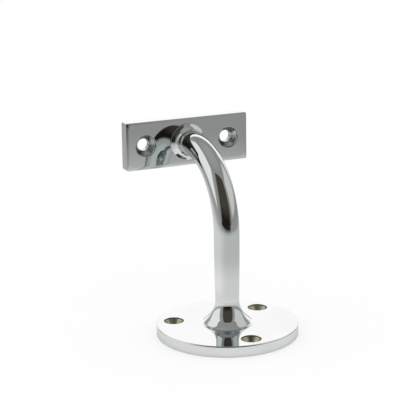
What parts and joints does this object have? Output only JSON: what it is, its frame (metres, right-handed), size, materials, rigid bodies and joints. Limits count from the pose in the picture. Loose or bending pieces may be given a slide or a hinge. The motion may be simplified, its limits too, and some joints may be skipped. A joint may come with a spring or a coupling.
{
  "type": "handrail bracket",
  "caption": "Polished handrail bracket: a round wall plate, a flared arm bent through a right angle and a flat saddle plate with screw holes for the rail.",
  "frame": {"origin": "centre of the wall plate's back face, which lies on the wall", "axes": "+Z out of the wall along the arm's stem, +Y up in use towards the rail face of the saddle plate, X along the rail; the bracket is modelled standing on its wall plate, as it is pictured"},
  "size_m": [0.063, 0.079, 0.09],
  "materials": {
    "polished_chrome": "mirror-polished chrome plate on solid brass",
    "screw_steel": "plain bright steel"
  },
  "bodies": {
    "root": {"wall_plate": "polished_chrome", "arm": "polished_chrome", "saddle_plate": "polished_chrome", "wall_plate_screw": "screw_steel", "saddle_plate_screw": "screw_steel"}
  },
  "joints": []
}
